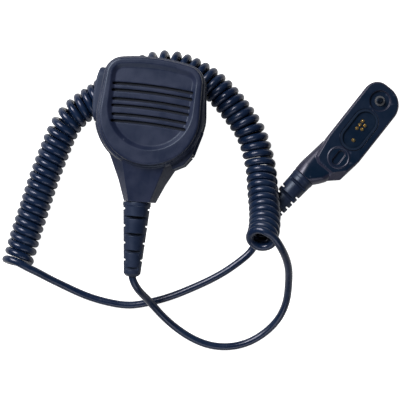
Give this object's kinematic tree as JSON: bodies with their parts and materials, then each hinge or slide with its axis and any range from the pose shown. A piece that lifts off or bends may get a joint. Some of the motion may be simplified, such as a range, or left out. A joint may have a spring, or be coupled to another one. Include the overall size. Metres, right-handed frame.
{
  "type": "hand microphone with coiled cord",
  "caption": "Hand microphone lying on its back: slotted grille head, side talk button, belt clip, coiled cord and a flat screw-on side connector with sprung contacts.",
  "frame": {"origin": "on the table plane under the middle of the grille, on the flat underside of the belt clip's lever", "axes": "+X to the right seen from the front of the grille, +Y to the top of the head, +Z out of the grille, away from the table"},
  "size_m": [0.2053, 0.1615, 0.0459],
  "materials": {
    "head_plastic": "fine moulded texture, satin",
    "ptt_rubber": "soft-touch matt",
    "actuator_plastic": "moulded",
    "clip_plastic": "moulded, satin",
    "cord_jacket": "polyurethane jacket, semi-gloss",
    "relief_rubber": "moulded, satin",
    "connector_plastic": "moulded, satin",
    "seal_rubber": "matt",
    "block_plastic": "moulded",
    "gold": "gold plated, bright",
    "steel": "zinc plated",
    "spring_steel": "spring steel",
    "dark_metal": "black oxide, knurled",
    "brass": "turned",
    "board_green": "solder resist",
    "cloth": "fine woven dust cloth",
    "foam": "closed-cell foam",
    "basket_steel": "pressed steel",
    "cone_paper": "coated paper",
    "wire": "insulated wire",
    "plunger_plastic": "moulded"
  },
  "bodies": {
    "housing": {"front_cover": "head_plastic", "rear_cover": "head_plastic", "cover_screws": "steel", "grille_cloth": "cloth", "speaker_gasket": "foam", "speaker_frame": "basket_steel", "speaker_cone": "cone_paper", "speaker_magnet": "steel", "mic_boot": "relief_rubber", "mic_capsule": "basket_steel", "main_board": "board_green", "board_screws": "steel", "switch_body": "actuator_plastic", "jack_socket": "block_plastic", "jack_cover_pin": "steel", "pivot_insert": "brass", "head_strain_relief": "relief_rubber", "coiled_cord": "cord_jacket", "cable_clamp": "basket_steel", "inner_wires": "wire", "connector_strain_relief": "relief_rubber", "connector_shell": "connector_plastic", "connector_back_cover": "connector_plastic", "connector_screws": "steel", "connector_board": "board_green", "connector_wires": "wire", "contact_gasket": "seal_rubber", "contact_block": "block_plastic", "contact_barrels": "gold"},
    "ptt": {"ptt_button": "ptt_rubber", "ptt_actuator": "actuator_plastic"},
    "switch_plunger": {"switch_plunger": "plunger_plastic"},
    "jack_flap": {"jack_cover": "relief_rubber"},
    "clip": {"clip_base": "clip_plastic", "clip_pin": "steel", "clip_spring": "spring_steel", "clip_pivot_screw": "steel", "clip_washer": "spring_steel"},
    "clip_jaw": {"clip_lever": "clip_plastic"},
    "screw_carrier": {"retaining_ring": "spring_steel"},
    "thumbscrew": {"thumbscrew": "dark_metal"},
    "contacts": {"contact_pins": "gold"}
  },
  "joints": [
    {"name": "ptt_press", "type": "slide", "parent": "housing", "child": "ptt", "axis": [1, 0, 0], "range_m": [0, 0.001], "stiffness_N_per_m": 1500, "springref_m": -0.001},
    {"name": "switch_press", "type": "slide", "parent": "housing", "child": "switch_plunger", "axis": [1, 0, 0], "range_m": [0, 0.001]},
    {"name": "jack_cover_open", "type": "hinge", "parent": "housing", "child": "jack_flap", "pos_m": [0.02511, -0.02012, 0.029], "axis": [0, 0, -1], "range_deg": [0, 95]},
    {"name": "clip_swivel", "type": "hinge", "parent": "housing", "child": "clip", "pos_m": [0, -0.008, 0.016], "axis": [0, 0, 1], "continuous": true},
    {"name": "clip_open", "type": "hinge", "parent": "clip", "child": "clip_jaw", "pos_m": [0, -0.002, 0.008], "axis": [1, 0, 0], "range_deg": [0, 20], "deforming": ["clip_spring"]},
    {"name": "connector_screw_travel", "type": "slide", "parent": "housing", "child": "screw_carrier", "axis": [0, 0, 1], "range_m": [0, 0.0015]},
    {"name": "connector_screw_turn", "type": "hinge", "parent": "screw_carrier", "child": "thumbscrew", "pos_m": [0.12276, 0.0237, 0.0085], "axis": [0, 0, 1], "continuous": true},
    {"name": "contact_press", "type": "slide", "parent": "housing", "child": "contacts", "axis": [0, 0, -1], "range_m": [0, 0.0006], "stiffness_N_per_m": 120, "springref_m": -0.004}
  ],
  "couplings": [
    {"joint": "switch_press", "follows": "ptt_press", "ratio": 1}
  ]
}
